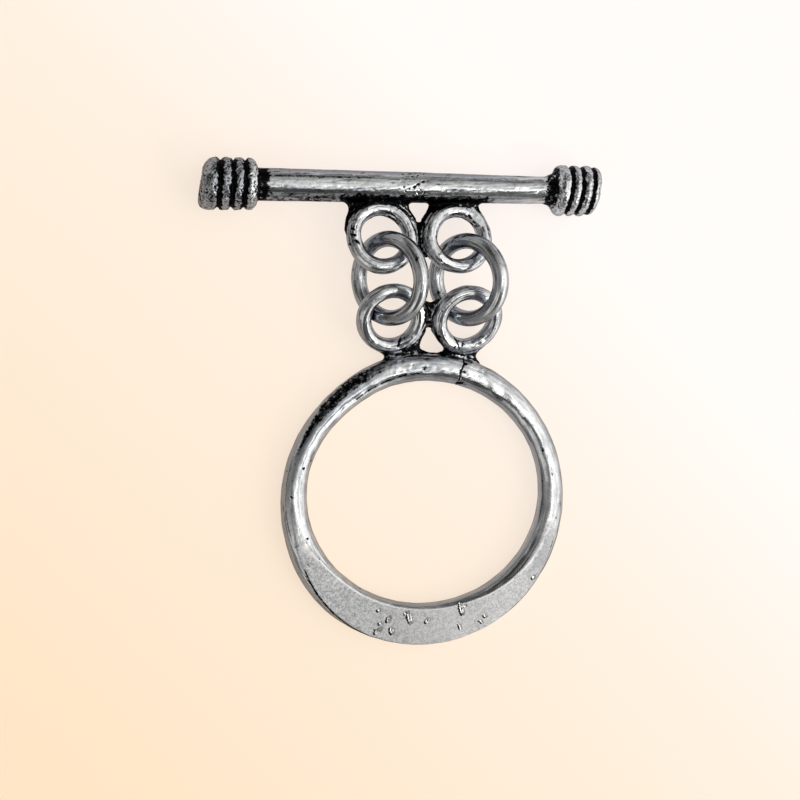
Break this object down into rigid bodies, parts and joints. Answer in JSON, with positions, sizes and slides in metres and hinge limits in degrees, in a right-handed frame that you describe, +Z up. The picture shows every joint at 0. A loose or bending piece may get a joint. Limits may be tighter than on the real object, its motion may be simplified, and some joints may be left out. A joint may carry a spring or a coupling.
{
  "type": "toggle clasp",
  "caption": "Toggle clasp: a bar with ribbed ends and a round ring with a filed face, joined by short strands of round links, lying flat.",
  "frame": {"origin": "centre of the ring's opening, on the surface that the clasp lies on", "axes": "+X along the bar, +Y from the ring to the bar, +Z up, square to the ring"},
  "size_m": [0.0317, 0.0389, 0.0058],
  "materials": {
    "oxidised_silver": "polished silver with black in the recesses"
  },
  "bodies": {
    "root": {"toggle_bar": "oxidised_silver", "toggle_ring": "oxidised_silver", "middle_link_left": "oxidised_silver", "middle_link_right": "oxidised_silver"}
  },
  "joints": []
}
